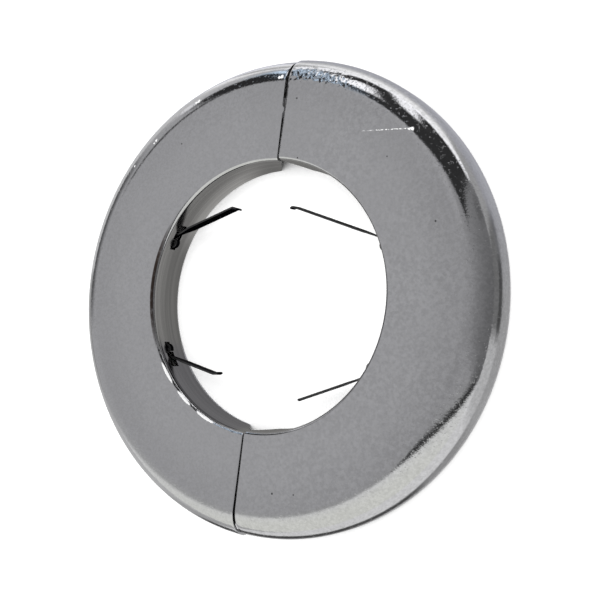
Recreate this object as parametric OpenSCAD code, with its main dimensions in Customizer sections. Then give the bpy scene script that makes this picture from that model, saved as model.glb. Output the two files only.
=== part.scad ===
// Split pipe rosette with a concealed hinge, a concealed latch and four spring clips.
// The plate lies on its back: the wall plane is z = 0, the face looks up along +Z,
// the seams lie along Y, with the latch at +Y and the hinge at -Y.

/* [Plate] */
// Outside diameter of the plate
plate_d = 108; // [104:0.5:124]
// Diameter of the pipe hole
hole_d = 60.6; // [57:0.2:64]
// Height of the face above the wall
plate_h = 9.2; // [8.6:0.1:14]
// Thickness of the stamped sheet
sheet_t = 0.6; // [0.4:0.05:0.7]
// Outer radius of the rounding between face and skirt
rim_round = 6.6; // [3:0.1:7.4]
// Outer radius of the bend between face and collar
collar_bend = 1.0; // [0.8:0.1:2.5]
// How far the collar stops short of the wall
collar_lift = 0.3; // [0:0.1:1.5]
// Radius of the collar's back corners at the seams
collar_corner_r = 4; // [1:0.5:5]

/* [Seam] */
// Angle by which each half stops short of the seam plane
seam_angle = 0.35; // [0.3:0.05:0.8]
// How far the left half sits lower along the seam than the right half
seam_slip = 0.4; // [0:0.05:0.4]

/* [Hinge] */
// Distance of the hinge pin from the seam plane
hinge_from_seam = 8; // [8:0.5:12]
// Distance of the hinge pin inside the rim
hinge_from_rim = 4; // [3.8:0.1:4.2]
// Thickness of each hinge leaf
leaf_t = 1.0; // [0.8:0.1:1.2]
// Width of each hinge leaf round the pin
leaf_w = 4.8; // [4.2:0.1:5]
// Height of the lower leaf above the wall
leaf_z = 0.8; // [0.8:0.1:1]
// Diameter of the rivet's shank
rivet_d = 2.4; // [1.6:0.1:2.6]
// Diameter of the rivet's heads
rivet_head_d = 4.2; // [3.4:0.1:4.4]
// Height of each rivet head
rivet_head_h = 0.55; // [0.3:0.05:0.6]
// Length of each leaf's flange along the skirt
leaf_flange_l = 9; // [6:0.5:12]
// Height of each leaf's flange
leaf_flange_h = 3.4; // [2.4:0.1:3.8]
// Distance between the seam and the right leaf's flange
ear_start = 1.8; // [1.2:0.1:3]
// Distance between the left half's notch and its leaf's flange
bracket_gap = 0.6; // [0.4:0.1:1]

/* [Latch] */
// Distance between the rim's rounding and the keeper
latch_inset = 0.3; // [0.1:0.1:1]
// Width of the tongue
tongue_w = 4.4; // [3.6:0.2:5]
// Thickness of the tongue and of the keeper
latch_t = 0.6; // [0.4:0.05:0.8]
// How far the tongue reaches past the seam
tongue_reach = 7.5; // [5:0.25:8]
// Length of the tongue's welded end
tongue_pad = 9; // [6:0.5:12]
// Length of the keeper along the tongue
keeper_l = 5; // [3:0.25:5.5]
// Width of each of the keeper's welded flanges
keeper_flange_w = 1.8; // [1.5:0.1:2]
// Distance between the seam and the keeper
keeper_start = 1; // [0.5:0.25:2]

/* [Springs] */
// Width of the spring strip, along the hole's axis
strip_w = 4.2; // [3:0.1:4.6]
// Thickness of the spring strip
strip_t = 0.4; // [0.25:0.05:0.5]
// Depth of the strip's middle below the face
strip_depth = 3.6; // [3.6:0.1:4.8]
// Inner diameter of the eye at the strip's root
eye_d = 2.0; // [2:0.1:2.3]
// Width of the collar's web inside each eye
web_w = 1.6; // [1.2:0.05:1.6]
// Length of the slot that lets the strip swing
swing_slot_l = 3.4; // [3:0.1:4]
// Length of the lip at the strip's tip
lip_l = 0.9; // [0.5:0.1:2]
// Angle by which the lip bends towards the pipe
lip_angle = 40; // [20:5:80]
// Angle of the upper left clip's eye round the hole
upper_left_eye = 160; // [156:0.5:164]
// Lean of the upper left arm away from the collar
upper_left_lean = 45; // [40:0.5:52]
// Length of the upper left arm
upper_left_arm_l = 19; // [14:0.5:22]
// Angle of the lower left clip's eye round the hole
lower_left_eye = 209.5; // [204:0.5:214]
// Lean of the lower left arm away from the collar
lower_left_lean = 50.5; // [40:0.5:56]
// Length of the lower left arm
lower_left_arm_l = 15.5; // [13:0.5:19]
// Angle of the upper right clip's eye round the hole
upper_right_eye = 26; // [22:0.5:30]
// Lean of the upper right arm away from the collar
upper_right_lean = 50.5; // [45:0.5:56]
// Length of the upper right arm
upper_right_arm_l = 24.5; // [18:0.5:26]
// Angle of the lower right clip's eye round the hole
lower_right_eye = -24.5; // [-29:0.5:-20]
// Lean of the lower right arm away from the collar
lower_right_lean = 40.5; // [38:0.5:48]
// Length of the lower right arm
lower_right_arm_l = 18.5; // [14:0.5:21]

/* [Fits] */
// Gap between two pieces that are welded together
weld_gap = 0.05; // [0.02:0.01:0.1]
// Running clearance between the hinge leaves and their rivet
hinge_gap = 0.05; // [0.03:0.01:0.1]
// Clearance above and below the tongue in its keeper
latch_gap = 0.1; // [0.05:0.01:0.2]
// Clearance at each side of the tongue in its keeper
latch_side_gap = 0.6; // [0.55:0.05:0.8]
// Clearance between the strip's edges and its slots
slot_gap = 0.2; // [0.1:0.05:0.3]
// Clearance beyond the eye in its root slot
eye_gap = 0.5; // [0.3:0.05:0.8]
// Clearance of the hinge notch round the lower leaf
notch_gap = 0.8; // [0.5:0.1:1.2]

/* [Hidden] */

$fn = 96;
eps = 0.01;
// How far a cut runs past what it cuts
over = 1;
// Smallest inner radius of a bend
tight_bend = 0.2;

plate_r = plate_d / 2;
hole_r = hole_d / 2;
// Sheet surfaces that the inner pieces sit on
face_under = plate_h - sheet_t;
skirt_inside = plate_r - sheet_t;
// The two halves are set off evenly from the hole's axis
half_slip = seam_slip / 2;

// Hinge: the lower leaf belongs to the right half, the upper one to the left half
pin_x = -hinge_from_seam;
pin_y = -(plate_r - hinge_from_rim);
upper_leaf_z = leaf_z + leaf_t + hinge_gap;
flange_r = skirt_inside - weld_gap;
notch_reach = hinge_from_seam + leaf_w / 2 + notch_gap;
notch_h = leaf_z + leaf_t + notch_gap;
notch_depth = plate_r - sqrt(pow(skirt_inside, 2) - pow(notch_reach, 2));
bracket_start = notch_reach + bracket_gap;

// Latch
tongue_top = face_under - latch_gap;
pocket_half = tongue_w / 2 + latch_side_gap;
latch_half = pocket_half + latch_t + keeper_flange_w;
latch_r = plate_r - rim_round - latch_inset - latch_half;

// Springs: the eye is centred in the collar's sheet
strip_z = plate_h - strip_depth;
eye_r = eye_d / 2 + strip_t / 2;
eye_out = eye_d / 2 + strip_t;
eye_centre_r = hole_r + sheet_t / 2;
slot_h = strip_w + 2 * slot_gap;
slot_reach = 3 * sheet_t;

// Each clip: angle of its eye round the hole, way to its seam (1 is anticlockwise),
// lean of the arm away from the collar, length of the arm
UPPER_LEFT = [upper_left_eye, -1, upper_left_lean, upper_left_arm_l];
LOWER_LEFT = [lower_left_eye, 1, lower_left_lean, lower_left_arm_l];
UPPER_RIGHT = [upper_right_eye, 1, upper_right_lean, upper_right_arm_l];
LOWER_RIGHT = [lower_right_eye, -1, lower_right_lean, lower_right_arm_l];

// Rectangle in the radius and height plane with its two upper corners rounded
module section(r_in, r_out, bottom, top, in_round, out_round) {
    translate([r_in, bottom])
        square([r_out - r_in, top - bottom - max(in_round, out_round)]);
    translate([r_in + in_round, bottom])
        square([r_out - out_round - r_in - in_round, top - bottom]);
    translate([r_in, bottom])
        square([in_round, top - bottom - in_round]);
    intersection() {
        translate([r_in + in_round, top - in_round]) circle(r = in_round);
        translate([r_in, top - in_round]) square(in_round);
    }
    translate([r_out - out_round, bottom])
        square([out_round, top - bottom - out_round]);
    intersection() {
        translate([r_out - out_round, top - out_round]) circle(r = out_round);
        translate([r_out - out_round, top - out_round]) square(out_round);
    }
}

// Section of the stamped sheet: skirt, rounded rim, face, bend and collar
module sheet_section() {
    difference() {
        section(hole_r, plate_r, 0, plate_h, collar_bend, rim_round);
        section(hole_r + sheet_t, skirt_inside, -over, face_under,
                max(collar_bend - sheet_t, tight_bend), rim_round - sheet_t);
        translate([hole_r - over, -over])
            square([sheet_t + over + eps, collar_lift + over]);
    }
}

// Cuts the collar's back corners round at both seams, for the half at -X
module corner_cut() {
    for (end = [-1, 1])
        translate([0, end * hole_r, 0])
            rotate([90, 0, 0])
                linear_extrude(height = 2 * collar_corner_r, center = true)
                    difference() {
                        translate([-collar_corner_r, collar_lift - over])
                            square(collar_corner_r + over);
                        translate([-collar_corner_r, collar_lift + collar_corner_r])
                            circle(r = collar_corner_r);
                    }
}

// The two slots round the web that one clip's eye is curled about
module clip_slots(clip) {
    rotate([0, 0, clip[0]])
        translate([eye_centre_r, 0, strip_z - slot_h / 2])
            mirror([0, clip[1] < 0 ? 1 : 0, 0]) {
                translate([-slot_reach, web_w / 2, 0])
                    cube([2 * slot_reach, swing_slot_l, slot_h]);
                translate([-slot_reach, -eye_out - eye_gap, 0])
                    cube([2 * slot_reach, eye_out + eye_gap - web_w / 2, slot_h]);
            }
}

// One stamped half, on the +X side
module stamped_half() {
    rotate_extrude(angle = 180 - 2 * seam_angle, start = -90 + seam_angle, $fn = 240)
        sheet_section();
}

// Strip in outline: an eye round the web, the arm, and a lip that bends towards the pipe
module clip_outline(arm_l) {
    difference() {
        circle(r = eye_out);
        circle(r = eye_d / 2);
        square(2 * eye_out);
    }
    translate([-eps, eye_r - strip_t / 2])
        square([arm_l + eps, strip_t]);
    translate([arm_l, eye_r]) {
        circle(r = strip_t / 2);
        rotate(-lip_angle)
            translate([0, -strip_t / 2])
                square([lip_l, strip_t]);
    }
}

module spring_clip(clip, slip) {
    color([0.16, 0.17, 0.19])
        translate([0, slip, 0])
            rotate([0, 0, clip[0]])
                translate([eye_centre_r, 0, strip_z - strip_w / 2])
                    rotate([0, 0, clip[1] * (90 + clip[2])])
                        mirror([0, clip[1] > 0 ? 1 : 0, 0])
                            linear_extrude(height = strip_w)
                                clip_outline(clip[3]);
}

// Bar with a round end on the hinge pin, running straight to the point at end_x, end_y
module leaf_bar(end_x, end_y) {
    run_x = end_x - pin_x;
    run_y = end_y - pin_y;
    translate([pin_x, pin_y])
        rotate(atan2(run_y, run_x)) {
            circle(d = leaf_w);
            translate([0, -leaf_w / 2])
                square([norm([run_x, run_y]), leaf_w]);
        }
}

// Space inside the skirt and its rounding, less the weld gap
module inside_skirt() {
    round_r = rim_round - sheet_t - weld_gap;
    rotate_extrude($fn = 240)
        section(0, flange_r, 0, face_under - weld_gap, round_r, round_r);
}

// Hinge leaf: a bar from the pin and a flange that stands along its own half's skirt
module hinge_leaf(side, start, z, slip) {
    stop = start + leaf_flange_l;
    bar_end_x = start + leaf_flange_l / 2;
    bar_end_y = slip - sqrt(pow(flange_r, 2) - pow(bar_end_x, 2)) + leaf_w / 2;
    difference() {
        intersection() {
            translate([0, 0, z]) {
                linear_extrude(height = leaf_t) {
                    leaf_bar(side * bar_end_x, bar_end_y);
                    leaf_foot(side, start, stop);
                }
                linear_extrude(height = leaf_flange_h)
                    translate([0, slip])
                        leaf_wall(side, start, stop);
            }
            translate([0, slip, 0]) inside_skirt();
        }
        translate([pin_x, pin_y, z - over])
            cylinder(d = rivet_d + 2 * hinge_gap, h = leaf_t + 2 * over);
    }
}

// Flat foot of a leaf, between the bar and the flange
module leaf_foot(side, start, stop) {
    translate([side > 0 ? start : -stop, -plate_r])
        square([stop - start, plate_r + pin_y + leaf_w / 2]);
}

// Curved footprint of a leaf's flange
module leaf_wall(side, start, stop) {
    difference() {
        translate([side > 0 ? start : -stop, -plate_r])
            square([stop - start, plate_r / 2]);
        circle(r = flange_r - leaf_t, $fn = 240);
    }
}

module right_half() {
    color([0.72, 0.72, 0.73])
        translate([0, half_slip, 0])
            difference() {
                stamped_half();
                mirror([1, 0, 0]) corner_cut();
                clip_slots(UPPER_RIGHT);
                clip_slots(LOWER_RIGHT);
            }
}

module left_half() {
    color([0.72, 0.72, 0.73])
        translate([0, -half_slip, 0])
            difference() {
                mirror([1, 0, 0]) stamped_half();
                corner_cut();
                clip_slots(UPPER_LEFT);
                clip_slots(LOWER_LEFT);
                // Notch that lets the hinge's lower leaf swing out under the rim
                translate([-notch_reach, -plate_r - over, -over])
                    cube([notch_reach, notch_depth + 2 * over, notch_h + over]);
            }
}

module hinge_ear() {
    color([0.55, 0.55, 0.57])
        hinge_leaf(1, ear_start, leaf_z, half_slip);
}

module hinge_bracket() {
    color([0.55, 0.55, 0.57])
        hinge_leaf(-1, bracket_start, upper_leaf_z, -half_slip);
}

module hinge_rivet() {
    color([0.5, 0.5, 0.5])
        translate([pin_x, pin_y, 0]) {
            translate([0, 0, leaf_z - hinge_gap])
                cylinder(d = rivet_d, h = 2 * leaf_t + 3 * hinge_gap);
            translate([0, 0, leaf_z - hinge_gap - rivet_head_h])
                cylinder(d = rivet_head_d, h = rivet_head_h);
            translate([0, 0, upper_leaf_z + leaf_t + hinge_gap])
                cylinder(d1 = rivet_head_d, d2 = rivet_head_d / 2, h = rivet_head_h);
        }
}

// Tongue: a welded pad, a straight run and a tapered tip
module latch_tongue() {
    tip_l = tongue_w / 3;
    color([0.6, 0.6, 0.62])
        translate([0, latch_r + half_slip, tongue_top - latch_t])
            linear_extrude(height = latch_t)
                polygon([[tongue_pad, -tongue_w / 2], [tongue_pad, tongue_w / 2],
                         [-tongue_reach + tip_l, tongue_w / 2], [-tongue_reach, tongue_w / 4],
                         [-tongue_reach, -tongue_w / 4], [-tongue_reach + tip_l, -tongue_w / 2]]);
}

// Keeper: hat section with its flanges under the face and its pocket below the tongue
module latch_keeper() {
    pocket_floor = tongue_top - latch_t - latch_gap;
    wall_out = pocket_half + latch_t;
    color([0.6, 0.6, 0.62])
        translate([-keeper_start - keeper_l, latch_r - half_slip, 0])
            rotate([90, 0, 90])
                linear_extrude(height = keeper_l) {
                    translate([-wall_out, pocket_floor - latch_t])
                        square([2 * wall_out, latch_t]);
                    for (side = [-1, 1]) {
                        translate([side > 0 ? pocket_half : -wall_out, pocket_floor - latch_t])
                            square([latch_t, face_under - weld_gap - pocket_floor + latch_t]);
                        translate([side > 0 ? pocket_half : -latch_half,
                                   face_under - weld_gap - latch_t])
                            square([latch_t + keeper_flange_w, latch_t]);
                    }
                }
}

module spring_upper_left() { spring_clip(UPPER_LEFT, -half_slip); }

module spring_lower_left() { spring_clip(LOWER_LEFT, -half_slip); }

module spring_upper_right() { spring_clip(UPPER_RIGHT, half_slip); }

module spring_lower_right() { spring_clip(LOWER_RIGHT, half_slip); }

right_half();
left_half();
hinge_ear();
hinge_bracket();
hinge_rivet();
latch_tongue();
latch_keeper();
spring_upper_left();
spring_lower_left();
spring_upper_right();
spring_lower_right();
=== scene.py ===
"""Looks for the split pipe rosette: two plated half rings, spring clips, a hidden hinge and latch."""
import math

import bmesh
import bpy
from mathutils import Matrix, Vector, noise


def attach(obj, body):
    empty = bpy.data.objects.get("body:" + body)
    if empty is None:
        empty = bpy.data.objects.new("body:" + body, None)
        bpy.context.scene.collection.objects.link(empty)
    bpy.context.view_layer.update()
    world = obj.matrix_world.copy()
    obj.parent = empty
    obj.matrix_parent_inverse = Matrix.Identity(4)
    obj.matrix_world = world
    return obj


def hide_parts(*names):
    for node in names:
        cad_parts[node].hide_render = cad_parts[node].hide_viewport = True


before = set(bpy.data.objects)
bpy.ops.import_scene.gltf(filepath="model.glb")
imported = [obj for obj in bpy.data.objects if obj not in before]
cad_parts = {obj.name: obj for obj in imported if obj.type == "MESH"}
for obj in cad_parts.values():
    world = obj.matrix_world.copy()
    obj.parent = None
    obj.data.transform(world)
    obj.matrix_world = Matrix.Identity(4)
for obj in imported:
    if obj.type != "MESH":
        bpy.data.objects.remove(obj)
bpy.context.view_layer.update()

MM = 0.001

# Sizes of the plate in millimetres, the same as the solids have
PLATE_R = 54.0
HOLE_R = 30.3
PLATE_H = 9.2
SHEET = 0.6
RIM_ROUND = 6.6
COLLAR_BEND = 1.0
COLLAR_LIFT = 0.3
SEAM_ANGLE = 0.35
HALF_SLIP = 0.2
NOTCH_REACH = 11.2
FACE_OUT = PLATE_R - RIM_ROUND
FACE_IN = HOLE_R + COLLAR_BEND
SKIRT_TOP = PLATE_H - RIM_ROUND
COLLAR_TOP = PLATE_H - COLLAR_BEND

# Finer forms of the looks in millimetres: the lean of the collar, the slots, and the clips' strips
COLLAR_LEAN = 0.5
SLOT_TOP = 6.85
SLOT_BOTTOM = 4.35
EYE_SLOT_TOP = 6.5
EYE_SLOT_BOTTOM = 4.7
SWING_SLOT = 3.9
EYE_SLOT = 1.75
WEB_W = 1.6
STRIP_T = 0.4
EYE_R = 1.2
EYE_W = 1.4
EYE_Z = 5.6
EYE_CENTRE_R = HOLE_R + SHEET / 2
LIP_L = 0.9
LIP_EASE = 0.3
TIP_TAPER = 0.25

# Each clip: angle of its eye, way to its seam, lean of its arm, length of its arm,
# width of its arm, width and bend of its lip, twist of its arm
CLIPS = {
    "upper_left": (160.0, -1, 45.0, 19.0, 3.1, 2.8, 40.0, 0.0),
    "lower_left": (209.5, 1, 50.5, 15.5, 3.0, 2.6, 40.0, 0.0),
    "upper_right": (26.0, 1, 50.5, 24.5, 3.0, 2.3, 40.0, 4.0),
    "lower_right": (-24.5, -1, 40.5, 18.5, 3.0, 0.9, 8.0, -13.0),
}

# Steps of the meshes: up the skirt, round the rim, over the face, round the bend, down the collar
SKIRT_STEPS = 5
RIM_STEPS = 30
FACE_STEPS = 40
BEND_STEPS = 12
EYE_SLOT_STEPS = 4
COLLAR_STEPS = 7
COLUMN_ANGLE = 0.9
CURL_STEPS = 30
CURL_ANGLE = 270.0
ARM_STEPS = 16
LIP_STEPS = 6
TIP_STEPS = 3

# Dark pits on the face: place and radius
PITS = ((5.1, 30.9, 0.22), (26.8, 31.8, 0.2), (9.2, -42.3, 0.3), (14.5, -41.5, 0.22))
# Scratch across the upper right of the face: its left end, its slope and its length
SCRATCH_X = 19.75
SCRATCH_Y = 37.01
SCRATCH_SLOPE = 0.065
SCRATCH_L = 12.0
# Painted glints on the rim: small bright spots, made pale and matte: place and radius
PAINTED_GLINTS = ((-1.71, 49.08, 8.98, 0.55), (-2.3, 48.9, 8.98, 0.45), (-24.23, 43.71, 8.68, 0.55),
         (-24.9, 43.3, 8.7, 0.5), (-35.25, 34.04, 9.0, 0.42), (-35.8, 33.4, 9.0, 0.34),
         (-41.08, 27.71, 8.84, 0.28), (31.64, 37.7, 8.94, 0.45), (31.1, 37.65, 9.0, 0.36))
# Painted highlights: pale patches along the lower left of the bend, where it catches the light: direction in
# degrees and half the length
PAINTED_HIGHLIGHTS = ((-138.6, 3.2), (-124.4, 2.7), (-110.7, 3.0))
PAINTED_HIGHLIGHT_R = 31.02
PAINTED_HIGHLIGHT_W = 0.33


# Camera, at the photograph's viewing angle
def make_camera():
    data = bpy.data.cameras.new("camera")
    data.sensor_width = 36.0
    data.lens = 59.2146
    data.clip_start = 0.01
    data.clip_end = 20.0
    data.dof.use_dof = False
    obj = bpy.data.objects.new("camera", data)
    bpy.context.scene.collection.objects.link(obj)
    right = Vector((0.85466, 0.12317, -0.50437))
    up = Vector((-0.1001, 0.99232, 0.0727))
    back = right.cross(up).normalized()
    up = back.cross(right).normalized()
    turn = Matrix((right.normalized(), up, back)).transposed().to_4x4()
    place = Vector((118.883, -2.475, 183.524 + PLATE_H)) * MM
    obj.matrix_world = Matrix.Translation(place) @ turn
    bpy.context.scene.camera = obj


# Small helpers for node materials
class Nodes:
    def __init__(self, name):
        self.material = bpy.data.materials.new(name)
        self.material.use_nodes = True
        self.tree = self.material.node_tree
        self.tree.nodes.clear()

    def add(self, kind, **settings):
        node = self.tree.nodes.new(kind)
        for key, value in settings.items():
            setattr(node, key, value)
        return node

    def put(self, node, socket, value):
        target = node.inputs[socket]
        if isinstance(value, bpy.types.NodeSocket):
            self.tree.links.new(value, target)
        else:
            target.default_value = value

    def math(self, operation, a, b=0.0):
        node = self.add("ShaderNodeMath", operation=operation)
        self.put(node, 0, a)
        self.put(node, 1, b)
        return node.outputs[0]

    def times(self, a, b):
        return self.math("MULTIPLY", a, b)

    def plus(self, a, b):
        return self.math("ADD", a, b)

    def minus(self, a, b):
        return self.math("SUBTRACT", a, b)

    def larger(self, a, b):
        return self.math("MAXIMUM", a, b)

    def ramp(self, value, low, high, to_low=0.0, to_high=1.0):
        node = self.add("ShaderNodeMapRange", interpolation_type="SMOOTHSTEP")
        for socket, item in (("Value", value), ("From Min", low), ("From Max", high),
                             ("To Min", to_low), ("To Max", to_high)):
            self.put(node, socket, item)
        return node.outputs[0]

    # A ramp between two lengths in millimetres
    def span(self, value, low, high, to_low=0.0, to_high=1.0):
        return self.ramp(value, low * MM, high * MM, to_low, to_high)

    # One between two lengths and nothing outside them, with a soft start and a soft end
    def band(self, value, start, full, fade, end):
        return self.times(self.span(value, start, full), self.span(value, fade, end, 1.0, 0.0))

    def noise(self, vector, scale, detail=2.0, rough=0.5):
        node = self.add("ShaderNodeTexNoise")
        self.put(node, "Vector", vector)
        self.put(node, "Scale", scale)
        self.put(node, "Detail", detail)
        self.put(node, "Roughness", rough)
        return node.outputs[0]

    def mix(self, factor, a, b):
        node = self.add("ShaderNodeMix", data_type="RGBA")
        self.put(node, 0, factor)
        self.put(node, 6, a)
        self.put(node, 7, b)
        return node.outputs[2]

    def bump(self, height, distance, strength=1.0):
        node = self.add("ShaderNodeBump")
        self.put(node, "Height", height)
        self.put(node, "Distance", distance)
        self.put(node, "Strength", strength)
        return node.outputs[0]

    # The place on the object, whole and as its three parts
    def place(self):
        coord = self.add("ShaderNodeTexCoord").outputs["Object"]
        split = self.add("ShaderNodeSeparateXYZ")
        self.put(split, 0, coord)
        return coord, split.outputs[0], split.outputs[1], split.outputs[2]

    # Noise that is drawn out into lines: the smaller a factor, the longer the lines that way
    def drawn_noise(self, parts, factors, detail=3.0, rough=0.5):
        node = self.add("ShaderNodeCombineXYZ")
        for index, (part, factor) in enumerate(zip(parts, factors)):
            self.put(node, index, self.times(part, factor))
        return self.noise(node.outputs[0], 1.0, detail, rough)

    def metal(self, color, roughness, normal, metallic=1.0):
        shader = self.add("ShaderNodeBsdfPrincipled")
        self.put(shader, "Base Color", color)
        self.put(shader, "Metallic", metallic)
        self.put(shader, "Roughness", roughness)
        self.put(shader, "Normal", normal)
        return self.surface(shader)

    def surface(self, shader):
        out = self.add("ShaderNodeOutputMaterial")
        self.tree.links.new(shader.outputs[0], out.inputs[0])
        return self.material


def grey(value, blue=0.0):
    return (value, value, value * (1 + blue), 1.0)


# Chrome plate with a fine grain, pits, a dotted scratch and a duller, drawn collar, and with painted shade,
# painted glints, painted highlights and a painted reflection
class ChromeNodes(Nodes):
    def __init__(self, name):
        super().__init__(name)
        self.coord, self.x, self.y, self.z = self.place()
        flat = self.plus(self.times(self.x, self.x), self.times(self.y, self.y))
        self.radius = self.math("SQRT", flat)
        self.ragged = self.times(self.noise(self.coord, 2200.0), 0.7 * MM)
        self.low = self.lower_left_collar()
        self.inner = self.whole_collar()

    def distance(self, place):
        node = self.add("ShaderNodeVectorMath", operation="DISTANCE")
        self.put(node, 0, self.coord)
        self.put(node, 1, Vector(place) * MM)
        return node.outputs["Value"]

    def whole_collar(self):
        return self.times(self.span(self.radius, 30.6, 31.2, 1.0, 0.0), self.span(self.z, 7.8, 8.6, 1.0, 0.0))

    def lower_left_collar(self):
        low = self.times(self.span(self.y, -17, -12, 1.0, 0.0), self.span(self.x, -4, -1.5, 1.0, 0.0))
        return self.times(low, self.span(self.radius, 30.6, 30.8, 1.0, 0.0))

    # Cloudy, mottled plating, with dimples that are stronger at the far right, and painted shade: a slow
    # darkening towards the rim, stronger at the right
    def plating_and_painted_shade(self):
        cloud = self.noise(self.coord, 70.0)
        mottle = self.ramp(self.noise(self.coord, 1900.0, 3.0, 0.65), 0.34, 0.68)
        tone = self.mix(cloud, grey(0.7, 0.02), grey(0.76, 0.02))
        tone = self.mix(self.times(mottle, 0.6), tone, grey(0.62, 0.01))

        dimples = self.ramp(self.noise(self.coord, 1050.0, 2.0, 0.6), 0.36, 0.64, -1.0, 1.0)
        patches = self.ramp(self.noise(self.coord, 60.0, 1.0), 0.35, 0.6, 0.016, 0.06)
        strength = self.times(self.span(self.x, -10, 30, 0.5, 1.0), patches)
        # Painted shade: darker towards the rim, more at the right
        dimples_and_painted_shade = self.band(self.radius, 37, 47.2, 47.5, 49)
        dimples_and_painted_shade = self.times(dimples_and_painted_shade, self.span(self.x, 20, 45, -0.07, -0.1))
        dimples_and_painted_shade = self.plus(self.times(dimples, strength), self.plus(dimples_and_painted_shade, 1.0))
        darker = self.add("ShaderNodeVectorMath", operation="SCALE")
        self.put(darker, 0, tone)
        self.put(darker, "Scale", dimples_and_painted_shade)
        return darker.outputs[0]

    # Pits: a few of the cells hold one dark speck each, and the larger ones have places of their own
    def pits(self):
        cells = self.add("ShaderNodeTexVoronoi")
        self.put(cells, "Vector", self.coord)
        self.put(cells, "Scale", 330.0)
        chosen = self.add("ShaderNodeSeparateColor")
        self.put(chosen, 0, cells.outputs["Color"])
        speck = self.ramp(cells.outputs["Distance"], 0.05, 0.085, 1.0, 0.0)
        speck = self.times(speck, self.math("LESS_THAN", chosen.outputs[0], 0.012))
        for x, y, size in PITS:
            away = self.distance((x, y, PLATE_H))
            speck = self.larger(speck, self.span(away, size * 0.5, size, 1.0, 0.0))
        return speck

    # Scratch across the upper right of the face, broken into dots
    def scratch(self):
        along = self.minus(self.x, SCRATCH_X * MM)
        aside = self.minus(self.minus(self.y, SCRATCH_Y * MM), self.times(along, SCRATCH_SLOPE))
        line = self.span(self.math("ABSOLUTE", aside), 0.05, 0.14, 1.0, 0.0)
        begun = self.math("GREATER_THAN", along, 0.0)
        ends = self.times(begun, self.math("LESS_THAN", along, SCRATCH_L * MM))
        dots = self.ramp(self.noise(self.coord, 2300.0, 1.0), 0.46, 0.58)
        broken = self.times(self.times(line, ends), dots)
        return self.times(broken, self.span(along, 0, 6, 0.4, 1.0))

    # A painted glint, with a ragged edge
    def painted_glint(self, x, y, z, size):
        reach = self.plus(self.minus(self.distance((x, y, z)), 0.35 * MM), self.ragged)
        return self.span(reach, size * 0.6, size, 1.0, 0.0)

    # A painted highlight on the bend: a long, pale patch, pointed at both ends
    def painted_highlight_patch(self, direction, half):
        turn = math.radians(direction)
        node = self.add("ShaderNodeVectorMath", operation="DOT_PRODUCT")
        self.put(node, 0, self.coord)
        self.put(node, 1, Vector((-math.sin(turn), math.cos(turn), 0.0)) / (half * MM))
        along = node.outputs["Value"]
        across = self.math("DIVIDE", self.minus(self.radius, PAINTED_HIGHLIGHT_R * MM), PAINTED_HIGHLIGHT_W * MM)
        reach = self.plus(self.times(along, along), self.times(across, across))
        reach = self.plus(reach, self.times(self.ragged, 900.0))
        patch = self.times(self.ramp(reach, 0.95, 1.25, 1.0, 0.0), self.span(self.z, 8.3, 8.6))
        facing = self.plus(self.times(self.x, math.cos(turn)), self.times(self.y, math.sin(turn)))
        return self.times(self.times(patch, self.math("GREATER_THAN", facing, 20 * MM)), 0.9)

    # All that is pale and matte: the scratch, the painted glints, the painted highlights along the bend and
    # the collar's paler free edge at the lower left
    def scratch_and_painted_glints(self):
        scratch_and_glints = self.scratch()
        for row in PAINTED_GLINTS:
            scratch_and_glints = self.larger(scratch_and_glints, self.painted_glint(*row))
        for row in PAINTED_HIGHLIGHTS:
            scratch_and_glints = self.larger(scratch_and_glints, self.painted_highlight_patch(*row))
        edge = self.times(self.low, self.span(self.z, 0.5, 0.9, 1.0, 0.0))
        return self.larger(scratch_and_glints, self.times(edge, self.span(self.ragged, 0.2, 0.4, 0.35, 0.9)))

    # Painted shade and dark reflection: a brownish black line along the left part of the bend into the collar
    def painted_shade_line(self):
        line = self.band(self.radius, 30.4, 30.6, 31.05, 31.25)
        left = self.times(self.span(self.x, -30.5, -26.5, 1.0, 0.0), self.span(self.z, 8.4, 8.7))
        uneven = self.ramp(self.noise(self.coord, 700.0, 3.0, 0.7), 0.25, 0.5, 0.5, 1.0)
        return self.times(self.times(line, left), uneven)

    # The drawn collar is duller, with faint rings round it from the die. At the lower left it is painted
    # darker and bluer, a painted reflection, and a painted shadow line runs along its top
    def collar(self, tone):
        rings = self.drawn_noise((self.x, self.y, self.z), (22.0, 22.0, 900.0), 3.0, 0.6)
        rings = self.ramp(rings, 0.4, 0.66)
        # Painted reflection: darker, bluer ring tones at the lower left
        dark = self.mix(self.low, grey(0.6), (0.51, 0.51, 0.55, 1.0))
        pale = self.mix(self.low, grey(0.72), (0.6, 0.6, 0.645, 1.0))
        tone = self.mix(self.inner, tone, self.mix(rings, dark, pale))
        collar_painted_shadow = self.times(self.band(self.z, 7.4, 7.9, 8.3, 8.7), self.low)
        return self.mix(self.times(collar_painted_shadow, 0.75), tone, (0.1, 0.1, 0.13, 1.0))

    def roughness(self, scratch_and_glints):
        rough = self.plus(self.times(self.noise(self.coord, 420.0, 3.0), 0.04), 0.035)
        rough = self.plus(rough, self.times(self.inner, 0.16))
        return self.larger(rough, self.times(scratch_and_glints, 0.6))

    # Height of the surface: a grain and a softer peel, pimples on the rim, rough, hammered stretches at
    # the top of the rim and at the lower left of the bend, and the pits
    def height(self, speck):
        grain = self.noise(self.coord, 2600.0, 3.0, 0.6)
        height = self.plus(self.times(grain, 0.8), self.noise(self.coord, 520.0))
        rim = self.span(self.radius, 46.8, 48.5)
        pimples = self.ramp(self.noise(self.coord, 1700.0), 0.62, 0.7)
        height = self.plus(height, self.times(pimples, self.times(rim, 0.9)))

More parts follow.
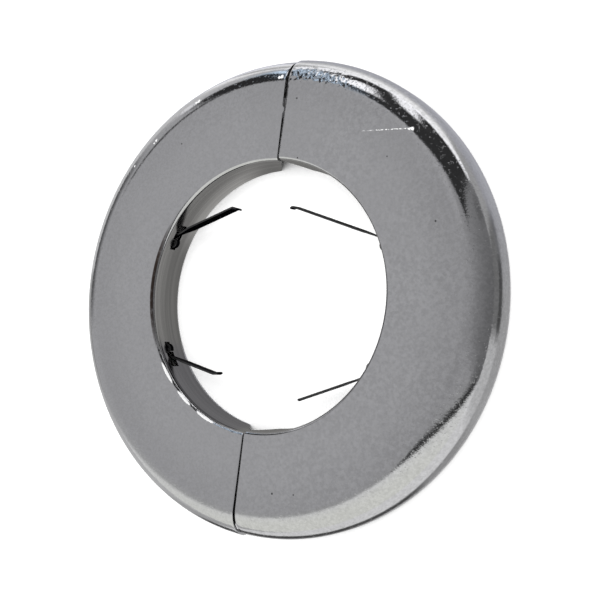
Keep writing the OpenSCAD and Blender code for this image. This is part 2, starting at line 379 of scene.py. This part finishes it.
        top = self.times(rim, self.span(self.radius, 50.5, 52, 1.0, 0.0))
        top = self.times(top, self.band(self.x, 0, 0.5, 13, 18))
        top = self.times(top, self.span(self.y, 40, 43, 0.0, 8.0))
        height = self.plus(height, self.times(top, self.noise(self.coord, 1150.0, 0.0)))
        bend = self.times(self.span(self.radius, 31.2, 31.6, 9.0, 0.0), self.span(self.y, -14, -10, 1.0, 0.0))
        left = self.times(self.span(self.x, -3, -1, 1.0, 0.0), self.span(self.z, 7.8, 8.2))
        height = self.plus(height, self.times(self.times(bend, left), self.noise(self.coord, 480.0)))
        return self.minus(height, self.times(speck, 0.8))


def chrome_material():
    n = ChromeNodes("chrome_plate")
    speck = n.pits()
    scratch_and_glints = n.scratch_and_painted_glints()
    tone = n.mix(speck, n.plating_and_painted_shade(), grey(0.1))
    # Pale where scratched, and painted glints and painted highlights
    tone = n.mix(scratch_and_glints, tone, grey(0.95))
    # Painted shade and dark reflection along the left of the bend
    tone = n.mix(n.painted_shade_line(), tone, (0.1, 0.075, 0.065, 1.0))
    tone = n.collar(tone)
    normal = n.bump(n.height(speck), 0.000016)
    return n.metal(tone, n.roughness(scratch_and_glints), normal, n.minus(1.0, scratch_and_glints))


# The back of the stamped sheet: plated thinly, with a rolled grain and dull stains
def sheet_back_material():
    n = Nodes("sheet_back")
    coord, *parts = n.place()
    rolled = n.drawn_noise(parts, (60.0, 2500.0, 60.0))
    stain = n.ramp(n.noise(coord, 110.0, 4.0, 0.6), 0.4, 0.7)
    tone = n.mix(stain, (0.5, 0.5, 0.49, 1.0), (0.34, 0.33, 0.31, 1.0))
    rough = n.plus(n.times(stain, 0.16), 0.34)
    return n.metal(tone, rough, n.bump(rolled, 0.000006, 0.8))


# Dark blued spring steel with faint draw lines and paler, worn edges and patches
def spring_material():
    n = Nodes("spring_steel")
    coord, *parts = n.place()
    lines = n.drawn_noise(parts, (40.0, 40.0, 3200.0))
    edge = n.add("ShaderNodeVertexColor", layer_name="wear")
    worn = n.ramp(n.noise(coord, 900.0, 3.0, 0.6), 0.56, 0.74)
    worn = n.larger(n.times(worn, 0.6), n.times(edge.outputs[0], 0.7))
    tone = n.mix(worn, (0.01, 0.011, 0.013, 1.0), (0.13, 0.13, 0.13, 1.0))
    rough = n.plus(n.times(lines, 0.15), 0.24)
    material = n.metal(tone, rough, n.bump(lines, 0.000004))
    shader = next(node for node in material.node_tree.nodes if node.type == "BSDF_PRINCIPLED")
    shader.inputs["Specular Tint"].default_value = (0.3, 0.3, 0.32, 1.0)
    return material


# Plain plated steel of the hinge leaves, the tongue and the keeper
def plated_material():
    n = Nodes("plated_steel")
    coord, *parts = n.place()
    brushed = n.drawn_noise(parts, (90.0, 2400.0, 2400.0))
    stain = n.ramp(n.noise(coord, 260.0, 3.0, 0.6), 0.4, 0.72)
    tone = n.mix(stain, (0.6, 0.6, 0.61, 1.0), (0.46, 0.455, 0.44, 1.0))
    rough = n.plus(n.times(brushed, 0.18), 0.27)
    return n.metal(tone, rough, n.bump(brushed, 0.000006))


# Plain pale floor. A small part of its white is its own glow, so that the object's shadow stays faint on it;
# the glow fades where the floor is covered, which paints darker shade under and next to the plate.
def floor_material():
    n = Nodes("studio_floor")
    coord = n.add("ShaderNodeTexCoord").outputs["Object"]
    plain = n.add("ShaderNodeBsdfDiffuse")
    n.put(plain, "Color", n.mix(n.noise(coord, 6.0), grey(0.78), grey(0.79)))
    path = n.add("ShaderNodeLightPath")
    seen = n.larger(path.outputs["Is Camera Ray"], path.outputs["Is Transmission Ray"])
    covered = n.add("ShaderNodeAmbientOcclusion", samples=8)
    n.put(covered, "Distance", 0.03)
    open_share = n.ramp(covered.outputs["AO"], 0.12, 0.4)
    own = n.add("ShaderNodeEmission")
    n.put(own, "Color", grey(1.0))
    n.put(own, "Strength", n.times(n.times(seen, open_share), 0.4))
    both = n.add("ShaderNodeAddShader")
    n.tree.links.new(plain.outputs[0], both.inputs[0])
    n.tree.links.new(own.outputs[0], both.inputs[1])
    return n.surface(both)


# A card or tent that shines with the tones kept at its points
def card_material(name):
    n = Nodes(name)
    source = n.add("ShaderNodeVertexColor", layer_name="tone")
    shader = n.add("ShaderNodeEmission")
    n.put(shader, "Strength", 1.0)
    n.put(shader, "Color", source.outputs[0])
    return n.surface(shader)


def smooth_step(low, high, value):
    t = min(max((value - low) / (high - low), 0.0), 1.0)
    return t * t * (3 - 2 * t)


def falling(low, high, value):
    return 1 - smooth_step(low, high, value)


def between(low, high, soft, value):
    return smooth_step(low - soft, low + soft, value) * falling(high - soft, high + soft, value)


def toward(tone, goal, share):
    return tone + (goal - tone) * share


# Brightness of the studio tent in a direction: grey above, darker to the right, a bright card
# in front with a black edge, and dark flags behind with pale gaps between and under them
def tent_tone(azimuth, elevation):
    def card(left, right, soft, low, high, blur):
        return between(left, right, soft, azimuth) * between(low, high, blur, elevation)

    def low_card(left, right, soft, low, high):
        return between(left, right, soft, azimuth) * falling(low, high, elevation)

    turn, lift = math.radians(azimuth), math.radians(elevation)
    x, y, z = math.cos(lift) * math.cos(turn), math.cos(lift) * math.sin(turn), math.sin(lift)
    tone = 0.335 - 0.18 * max(x, 0.0) + 0.2 * min(max(-x, 0.0), 0.45)
    pale = between(-90, -16, 8, azimuth) * smooth_step(22, 40, elevation) * falling(74, 88, elevation)
    tone = toward(tone, 0.35, pale)

    # The front card ends at two slanting edges; the right one has the black border
    right_edge = -0.288 * x - 0.875 * y - 0.39 * z
    left_edge = 0.337 * x - 0.872 * y - 0.356 * z
    tone = toward(tone, 0.76, smooth_step(0.02, 0.05, right_edge) * smooth_step(-0.05, 0.16, left_edge))
    border = between(-0.072, 0.046, 0.014, right_edge) * between(-102, -16, 8, azimuth)
    tone = toward(tone, 0.04, border * smooth_step(0, 12, elevation))

    # The flags behind, whose top edge falls to the left, and the gaps, which lean
    top = 60 - 0.45 * min(max(azimuth - 103, 0.0), 45.0)
    lean = 0.3 * (elevation - 31)
    parting = 117 + 0.36 * elevation
    tone = toward(tone, 0.42, card(84, 150, 6, top, 76, 3))
    tone = toward(tone, 0.1, 0.6 * card(36, 44, 3, 4, 24, 4))
    tone = toward(tone, 0.035, card(50, 121, 1.5, 7, top, 1.5))
    tone = toward(tone, 1.25, low_card(51, 123, 2, 4, 8))
    tone = toward(tone, 1.25, low_card(79, 89.5 - 0.1 * elevation, 1.5, 24, 30))
    tone = toward(tone, 1.35, card(100 + lean, 113 + lean, 1.5, 21, 41, 2))
    tone = toward(tone, 0.4, card(114 + lean, parting, 1.5, 11, top - 4, 3))
    tone = toward(tone, 0.03, card(parting, 147.5, 1.5, 15, top, 2))
    tone = toward(tone, 0.55, low_card(123, 151, 3, 12, 16))
    tone = toward(tone, 1.3, card(121.5, 125.5, 1, 10, 21, 2))
    tone = toward(tone, 1.1, low_card(145.5, 147.5, 1, 16, 22))
    tone = toward(tone, 0.06, card(147.5, 167, 2, 33.5, 40, 1.5))

    # Broken reflections in the bluish part
    broken = noise.noise(Vector((azimuth * 0.3, elevation * 0.3, 7.0))) * between(112, parting, 2, azimuth)
    broken *= between(8, 48, 4, elevation)
    tone = toward(tone, 0.02, smooth_step(0.0, 0.16, broken))
    tone = toward(tone, 1.3, smooth_step(0.14, 0.3, -broken))

    left = 1 - between(-175, 160, 4, azimuth)
    return max(toward(tone, 0.11, left * falling(8, 34, elevation)), 0.0)


# Brightness of the cards that lie on the floor round the plate, by direction and distance in mm
def floor_tone(azimuth, radius):
    far = 0.54
    for goal, first, last in ((1.1, 50, 102), (0.4, 27, 50), (0.19, -4, 27), (0.57, -24, -4),
                              (0.77, -103, -24), (0.42, -120, -103)):
        far = toward(far, goal, between(first, last, 4, azimuth))
    far = toward(far, 0.3, (1 - between(-158, 170, 6, azimuth)) * smooth_step(70, 110, radius))
    near = toward(0.46, 0.64, 1 - between(-112, 97, 5, azimuth))
    near = toward(near, 0.4, between(-18, 24, 8, azimuth))
    near = toward(near, 0.32, between(-58, -24, 8, azimuth))
    near = toward(near, 1.0, between(97, 124, 3, azimuth) * smooth_step(58, 62, radius))
    sharp = between(-75, -6, 10, azimuth)
    start, stop = 56.5 + 0.5 * sharp, 61.0 - 2.4 * sharp
    if azimuth > 0:
        start += 5 * smooth_step(90, 100, azimuth)
        stop += 24 * between(46, 108, 8, azimuth)
    tone = toward(near, far, smooth_step(start, stop, radius))

    # Painted shadow: a dark border in front of the plate's foot, which stands for its contact shadow as
    # reflections see it and widens to the left; and a dark patch at the right
    past = min(max(-48 - azimuth, 0.0), 50.0)
    middle = 55.3 + 0.13 * past
    border = between(middle - 1.4 - 0.05 * past, middle + 1.5 + 0.06 * past, 0.8, radius)
    tone = toward(tone, 0.07, border * between(-107, -42, 4, azimuth))
    return toward(tone, 0.09, between(-3, 15, 3, azimuth) * between(59, 66, 1.0, radius))


# Brightness of the card in the pipe hole, which only reflections see: darker by the collar, which paints the
# collar's shade on the hole's floor, paler inwards, black in the middle, with a bright patch close to the
# collar at the far left
def hole_tone(azimuth, radius):
    tone = 0.03 + 0.3 * smooth_step(11, 15, radius) - 0.13 * smooth_step(22.5, 25, radius)
    return tone + 0.3 * between(114, 158, 10, azimuth) * smooth_step(26, 29.5, radius)


def compass(x, y):
    return math.degrees(math.atan2(y, x))


def tent_color(x, y, z):
    azimuth = compass(x, y)
    elevation = math.degrees(math.atan2(z, math.hypot(x, y)))
    tone = tent_tone(azimuth, elevation)
    warm = smooth_step(0.2, 0.9, -math.sin(math.radians(azimuth)) * math.cos(math.radians(elevation)))
    blue = between(112, 131, 4, azimuth) * between(8, 50, 6, elevation)
    return (tone * (1 - 0.22 * blue), tone * (1 + 0.01 * warm - 0.06 * blue),
            tone * (1.02 - 0.07 * warm + 0.1 * blue))


def floor_color(x, y, z):
    azimuth, radius = compass(x, y), math.hypot(x, y) / MM
    tone = floor_tone(azimuth, radius)
    blue = falling(58, 70, radius) * between(18, 150, 20, azimuth)
    return (tone * (1 - 0.03 * blue), tone * (1 - 0.02 * blue), tone * (1 + 0.06 * blue))


def hole_color(x, y, z):
    tone = hole_tone(compass(x, y), math.hypot(x, y) / MM)
    return (tone, tone * 0.985, tone * 0.96)


# What only reflections see, like the flags and cards round a table top
def reflections_only(obj):
    obj.visible_camera = False
    obj.visible_diffuse = False
    obj.visible_shadow = False
    obj.visible_transmission = False
    obj.visible_volume_scatter = False


# A card or tent out of closed rings of points, each point with its own tone
def make_shell(name, rings, color):
    mesh = bpy.data.meshes.new(name)
    build = bmesh.new()
    rows = [[build.verts.new(point) for point in ring] for ring in rings]
    for low, high in zip(rows, rows[1:]):
        for column in range(len(low)):
            after = (column + 1) % len(low)
            build.faces.new((low[column], low[after], high[after], high[column]))
    build.to_mesh(mesh)
    build.free()
    colors = mesh.color_attributes.new("tone", "FLOAT_COLOR", "POINT")
    for vertex in mesh.vertices:
        colors.data[vertex.index].color = (*color(*vertex.co), 1.0)
    obj = bpy.data.objects.new(name, mesh)
    bpy.context.scene.collection.objects.link(obj)
    mesh.materials.append(card_material(name))
    reflections_only(obj)


def ring_points(flat, height, count):
    turns = [math.radians(-180 + 360 * k / count) for k in range(count)]
    return [(flat * math.cos(turn), flat * math.sin(turn), height) for turn in turns]


# The tent over the table, and the cards on it round the plate and in the pipe hole
def make_tent():
    reach = 1.5
    lifts = [math.radians(1.5 * row) for row in range(61)]
    rings = [ring_points(reach * math.cos(lift), reach * math.sin(lift), 240) for lift in lifts]
    make_shell("studio_tent", rings, tent_color)
    radii = (54.1, 55, 56, 57, 58, 59, 60, 61, 62, 63, 65, 67, 70, 74, 78, 84, 95, 120, 200, 500, 1500)
    make_shell("floor_cards", [ring_points(r * MM, 0.0003, 180) for r in radii], floor_color)
    radii = (0.2, 3, 6, 9, 12, 15, 18, 20, 22, 24, 26, 28, 30.1)
    make_shell("hole_card", [ring_points(r * MM, 0.0002, 120) for r in radii], hole_color)


def make_floor():
    name = "studio_floor"
    mesh = bpy.data.meshes.new(name)
    reach, sink = 4, -0.00003
    corners = [(-reach, -reach, sink), (reach, -reach, sink), (reach, reach, sink), (-reach, reach, sink)]
    mesh.from_pydata(corners, [], [(0, 1, 2, 3)])
    mesh.materials.append(floor_material())
    obj = bpy.data.objects.new(name, mesh)
    bpy.context.scene.collection.objects.link(obj)


def make_lamp(name, place, size, power):
    data = bpy.data.lights.new(name, "AREA")
    data.shape = "SQUARE"
    data.size = size
    data.energy = power
    obj = bpy.data.objects.new(name, data)
    obj.location = place
    obj.rotation_euler = Vector(place).to_track_quat("Z", "Y").to_euler()
    obj.visible_glossy = False
    bpy.context.scene.collection.objects.link(obj)


# The world lights the object softly, and is white where it is seen itself
def make_world():
    world = bpy.data.worlds.new("studio")
    bpy.context.scene.world = world
    world.use_nodes = True
    tree = world.node_tree
    tree.nodes.clear()
    path = tree.nodes.new("ShaderNodeLightPath")
    seen = tree.nodes.new("ShaderNodeMath")
    seen.operation = "MAXIMUM"
    tree.links.new(path.outputs["Is Camera Ray"], seen.inputs[0])
    tree.links.new(path.outputs["Is Glossy Ray"], seen.inputs[1])
    both = tree.nodes.new("ShaderNodeMath")
    both.operation = "MAXIMUM"
    tree.links.new(seen.outputs[0], both.inputs[0])
    tree.links.new(path.outputs["Is Transmission Ray"], both.inputs[1])
    strength = tree.nodes.new("ShaderNodeMapRange")
    tree.links.new(both.outputs[0], strength.inputs["Value"])
    strength.inputs["To Min"].default_value = 0.55
    strength.inputs["To Max"].default_value = 1.0
    light = tree.nodes.new("ShaderNodeBackground")
    light.inputs["Color"].default_value = (1, 1, 1, 1)
    tree.links.new(strength.outputs[0], light.inputs["Strength"])
    out = tree.nodes.new("ShaderNodeOutputWorld")
    tree.links.new(light.outputs[0], out.inputs[0])


def make_studio():
    make_world()
    make_floor()
    make_tent()
    make_lamp("lamp_above", (0.1, 0.25, 1.2), 1.0, 9.0)
    make_lamp("lamp_left", (-0.9, -0.3, 0.9), 0.8, 4.0)


# Profile of the sheet's outer surface, from the skirt's edge over the face to the bend's end
def sheet_profile():
    points = [(PLATE_R, SKIRT_TOP * step / SKIRT_STEPS) for step in range(SKIRT_STEPS)]
    for step in range(RIM_STEPS + 1):
        turn = math.radians(90 * step / RIM_STEPS)
        points.append((FACE_OUT + RIM_ROUND * math.cos(turn), SKIRT_TOP + RIM_ROUND * math.sin(turn)))
    for step in range(1, FACE_STEPS):
        points.append((FACE_OUT + (FACE_IN - FACE_OUT) * step / FACE_STEPS, PLATE_H))
    for step in range(BEND_STEPS + 1):
        turn = math.radians(90 * step / BEND_STEPS)
        points.append((FACE_IN - COLLAR_BEND * math.sin(turn), COLLAR_TOP + COLLAR_BEND * math.cos(turn)))
    return points


# Heights of the rows down the collar, with rows at the slots' edges
def collar_rows():
    rows = [SLOT_TOP]
    for step in range(EYE_SLOT_STEPS + 1):
        rows.append(EYE_SLOT_TOP + (EYE_SLOT_BOTTOM - EYE_SLOT_TOP) * step / EYE_SLOT_STEPS)
    for step in range(COLLAR_STEPS + 1):
        rows.append(SLOT_BOTTOM + (COLLAR_LIFT - SLOT_BOTTOM) * step / COLLAR_STEPS)
    return rows


# Each slot's two edges as angles round the pipe, and by how many rows it is shorter than the tallest
def slot_spans(names):
    spans = []
    for name in names:
        eye, way = CLIPS[name][:2]
        for low, high, inset in ((-EYE_SLOT, -WEB_W / 2, 1), (WEB_W / 2, WEB_W / 2 + SWING_SLOT, 0)):
            ends = sorted(eye + way * math.degrees(math.asin(v / EYE_CENTRE_R)) for v in (low, high))
            spans.append((ends[0], ends[1], inset))
    return spans


# Lowest height of the collar at a distance from the seam: its corner is cut slantwise and rounded
def corner_height(x):
    depth = 1.0 + 0.8 * math.sqrt(min(abs(x) / 0.6, 1.0)) + 1.69 * abs(x)
    return max(PLATE_H - depth, COLLAR_LIFT)


# A point of the stamped surface, with the shallow unevenness that stamping leaves
def surface_point(r, z, ca, sa, side):
    x, y = r * ca, r * sa
    wave = noise.noise(Vector((x * 0.055, y * 0.055, side * 3.0)))
    dent = noise.noise(Vector((x * 0.16 + 9.0, y * 0.16, side * 5.0)))
    sink = 0.014 * (wave - 0.6) + 0.004 * (dent - 0.6)
    if z > PLATE_H - 1.5:
        z = z + min(sink, 0.0)
    # The left half's edge at the far seam: a bent tooth, and a wider gap beyond it
    if side < 0 and 0 > x > -0.4 and y > 0 and z > PLATE_H - 4:
        tooth = between(41.3, 42.3, 0.3, r)
        x += 0.3 * tooth - 0.22 * smooth_step(42.2, 43.0, r)
        z -= 0.12 * tooth
    return Vector((x, y, z)) * MM


# Angles of the mesh's columns, with one at each mark
def column_angles(marks):
    angles = sorted(marks)
    columns = []
    for a, b in zip(angles, angles[1:]):
        count = max(1, round((b - a) / COLUMN_ANGLE))
        columns += [a + (b - a) * k / count for k in range(count)]
    columns.append(angles[-1])
    return columns


# One column of the half, from the skirt's edge to the collar's free edge
def sheet_column(angle, side, profile, rows):
    ca, sa = math.cos(math.radians(angle)), math.sin(math.radians(angle))
    line = [surface_point(r, z, ca, sa, side) for r, z in profile]
    lowest = corner_height(HOLE_R * ca)
    for z in rows:
        share = (z - COLLAR_LIFT) / (COLLAR_TOP - COLLAR_LIFT)
        height = lowest + share * (COLLAR_TOP - lowest) if lowest > COLLAR_LIFT + 0.001 else z
        r = HOLE_R - COLLAR_LEAN * (COLLAR_TOP - height) / COLLAR_TOP
        line.append(surface_point(r, height, ca, sa, side))
    return line


# Thickness, eased edges and even shading of a half
def dress_sheet(obj):
    thick = obj.modifiers.new("thickness", "SOLIDIFY")
    thick.thickness = SHEET * MM
    thick.offset = -1.0
    thick.use_even_offset = True
    thick.material_offset = 1
    thick.material_offset_rim = 0
    edges = obj.modifiers.new("edges", "BEVEL")
    edges.width = 0.09 * MM
    edges.segments = 2
    edges.limit_method = "ANGLE"
    edges.angle_limit = math.radians(50)
    even = obj.modifiers.new("shading", "WEIGHTED_NORMAL")
    even.keep_sharp = False
    even.weight = 80


# One stamped half as a thin shell, with its slots, cut corners and slight dents
def make_half(name, side, slip, clip_names):
    if side > 0:
        first, last = -90 + SEAM_ANGLE, 90 - SEAM_ANGLE
    else:
        first, last = 90 + SEAM_ANGLE, 270 - SEAM_ANGLE
    spans = slot_spans(clip_names)
    if side < 0:
        spans = [(low % 360, high % 360, inset) for low, high, inset in spans]
    marks = {first, last}
    for low, high, inset in spans:
        marks.update((low, high))
    notch = last
    if side < 0:
        notch = 270 - math.degrees(math.asin(NOTCH_REACH / PLATE_R))
        marks.add(notch)
    columns = column_angles(marks)

    profile = sheet_profile()
    rows = collar_rows()
    build = bmesh.new()
    lines = [sheet_column(angle, side, profile, rows) for angle in columns]
    grid = [[build.verts.new(point) for point in line] for line in lines]
    slot_first = len(profile)
    slot_last = slot_first + EYE_SLOT_STEPS + 2
    for k in range(len(columns) - 1):
        middle = (columns[k] + columns[k + 1]) / 2
        insets = [inset for low, high, inset in spans if low < middle < high]
        for j in range(len(grid[k]) - 1):
            if insets and slot_first + insets[0] <= j < slot_last - insets[0]:
                continue
            if middle > notch and j < SKIRT_STEPS - 1:
                continue
            build.faces.new((grid[k][j], grid[k + 1][j], grid[k + 1][j + 1], grid[k][j + 1]))
    loose = [v for v in build.verts if not v.link_faces]
    bmesh.ops.delete(build, geom=loose, context="VERTS")
    mesh = bpy.data.meshes.new(name)
    build.normal_update()
    build.to_mesh(mesh)
    build.free()
    for polygon in mesh.polygons:
        polygon.use_smooth = True
    obj = bpy.data.objects.new(name, mesh)
    bpy.context.scene.collection.objects.link(obj)
    mesh.transform(Matrix.Translation((0, slip * MM, 0)))
    mesh.materials.append(CHROME)
    mesh.materials.append(SHEET_BACK)
    dress_sheet(obj)
    return obj


# Outline of a strip seen from above: the curl round the web, the arm, and the lip bent by degrees.
# Each point also has its share of the way out along the arm, and of the way out along the lip.
def clip_path(arm, lip_angle):
    path = []
    for step in range(CURL_STEPS + 1):
        turn = math.radians(360 - CURL_ANGLE * step / CURL_STEPS)
        path.append((EYE_R * math.cos(turn), EYE_R * math.sin(turn), 0.0, 0.0))
    straight = arm - LIP_EASE
    for step in range(1, ARM_STEPS + 1):
        share = step / ARM_STEPS
        path.append((straight * share, EYE_R, share, 0.0))
    bend = LIP_EASE / math.tan(math.radians(lip_angle / 2))
    for step in range(1, LIP_STEPS + 1):
        turn = math.radians(lip_angle * step / LIP_STEPS)
        path.append((straight + bend * math.sin(turn), EYE_R - bend * (1 - math.cos(turn)), 1.0,
                     0.5 * step / LIP_STEPS))
    rest = LIP_L - LIP_EASE
    turn = math.radians(lip_angle)
    u, v = path[-1][:2]
    for step in range(1, TIP_STEPS + 1):
        share = step / TIP_STEPS
        reach = rest * share
        path.append((u + reach * math.cos(turn), v - reach * math.sin(turn), 1.0, 0.5 + share / 2))
    return path


# Section of a strip of a width, with eased edges: thickness way, width way, and where it is worn
def strip_section(width):
    half_t, half_w = STRIP_T / 2, width / 2
    ease, inset = min(0.07, half_w * 0.3), min(0.3, half_w * 0.6)
    flank = [(half_t, -half_w + ease, 1), (half_t, -half_w + inset, 0), (half_t, half_w - inset, 0),
             (half_t, half_w - ease, 1), (half_t - ease, half_w, 1)]
    return flank + [(-a, -b, c) for a, b, c in flank]


# A spring clip: a strip with eased edges, curled round the web of the collar
def make_clip(name, slip):
    eye, way, lean, arm, arm_w, lip_w, lip_angle, twist = CLIPS[name]
    path = clip_path(arm, lip_angle)
    turn = way * math.radians(90 + lean)
    around = math.radians(eye)
    build = bmesh.new()
    rings = []
    shares = []
    for index, (u, v, out, lip) in enumerate(path):
        before = path[max(index - 1, 0)]
        after = path[min(index + 1, len(path) - 1)]
        tangent = Vector((after[0] - before[0], after[1] - before[1])).normalized()
        spread = smooth_step(2.5, 6.5, out * (arm - LIP_EASE))
        width = EYE_W + (arm_w - EYE_W) * spread
        width += (lip_w - width) * smooth_step(0.0, 1.0, lip)
        if index == len(path) - 1:
            width -= TIP_TAPER
        tilt = math.radians(twist) * spread
        ring = []
        for across, rise, worn in strip_section(width):
            shift = across * math.cos(tilt) - rise * math.sin(tilt)
            height = across * math.sin(tilt) + rise * math.cos(tilt)
            px = u - tangent.y * shift
            py = v + tangent.x * shift
            if way > 0:
                py = -py
            radial = px * math.cos(turn) - py * math.sin(turn) + EYE_CENTRE_R
            along = px * math.sin(turn) + py * math.cos(turn)
            point = Vector((radial * math.cos(around) - along * math.sin(around),
                            radial * math.sin(around) + along * math.cos(around) + slip, EYE_Z + height))
            ring.append(build.verts.new(point * MM))
            shares.append(worn)
        rings.append(ring)
    count = len(rings[0])
    for first, second in zip(rings, rings[1:]):
        for k in range(count):
            build.faces.new((first[k], first[(k + 1) % count], second[(k + 1) % count], second[k]))
    build.faces.new(rings[0])
    build.faces.new(list(reversed(rings[-1])))
    bmesh.ops.recalc_face_normals(build, faces=build.faces)
    mesh = bpy.data.meshes.new(name)
    build.to_mesh(mesh)
    build.free()
    colors = mesh.color_attributes.new("wear", "FLOAT_COLOR", "POINT")
    for index, share in enumerate(shares):
        colors.data[index].color = (share, share, share, 1.0)
    for polygon in mesh.polygons:
        polygon.use_smooth = True
    mesh.set_sharp_from_angle(angle=math.radians(50))
    obj = bpy.data.objects.new("clip_strip_" + name, mesh)
    bpy.context.scene.collection.objects.link(obj)
    mesh.materials.append(SPRING)
    even = obj.modifiers.new("shading", "WEIGHTED_NORMAL")
    even.keep_sharp = True
    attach(obj, "clip_" + name)
    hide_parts("spring_" + name)


make_camera()
CHROME = chrome_material()
SHEET_BACK = sheet_back_material()
SPRING = spring_material()
PLATED = plated_material()

right = make_half("plate_right", 1, HALF_SLIP, ("upper_right", "lower_right"))
left = make_half("plate_left", -1, -HALF_SLIP, ("upper_left", "lower_left"))
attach(right, "right")
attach(left, "left")
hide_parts("right_half")
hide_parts("left_half")

for node in ("hinge_ear", "hinge_bracket", "hinge_rivet", "latch_tongue", "latch_keeper"):
    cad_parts[node].data.materials.clear()
    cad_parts[node].data.materials.append(PLATED)
for clip in ("upper_left", "lower_left"):
    make_clip(clip, -HALF_SLIP)
for clip in ("upper_right", "lower_right"):
    make_clip(clip, HALF_SLIP)

make_studio()
bpy.context.scene.view_settings.view_transform = "Standard"
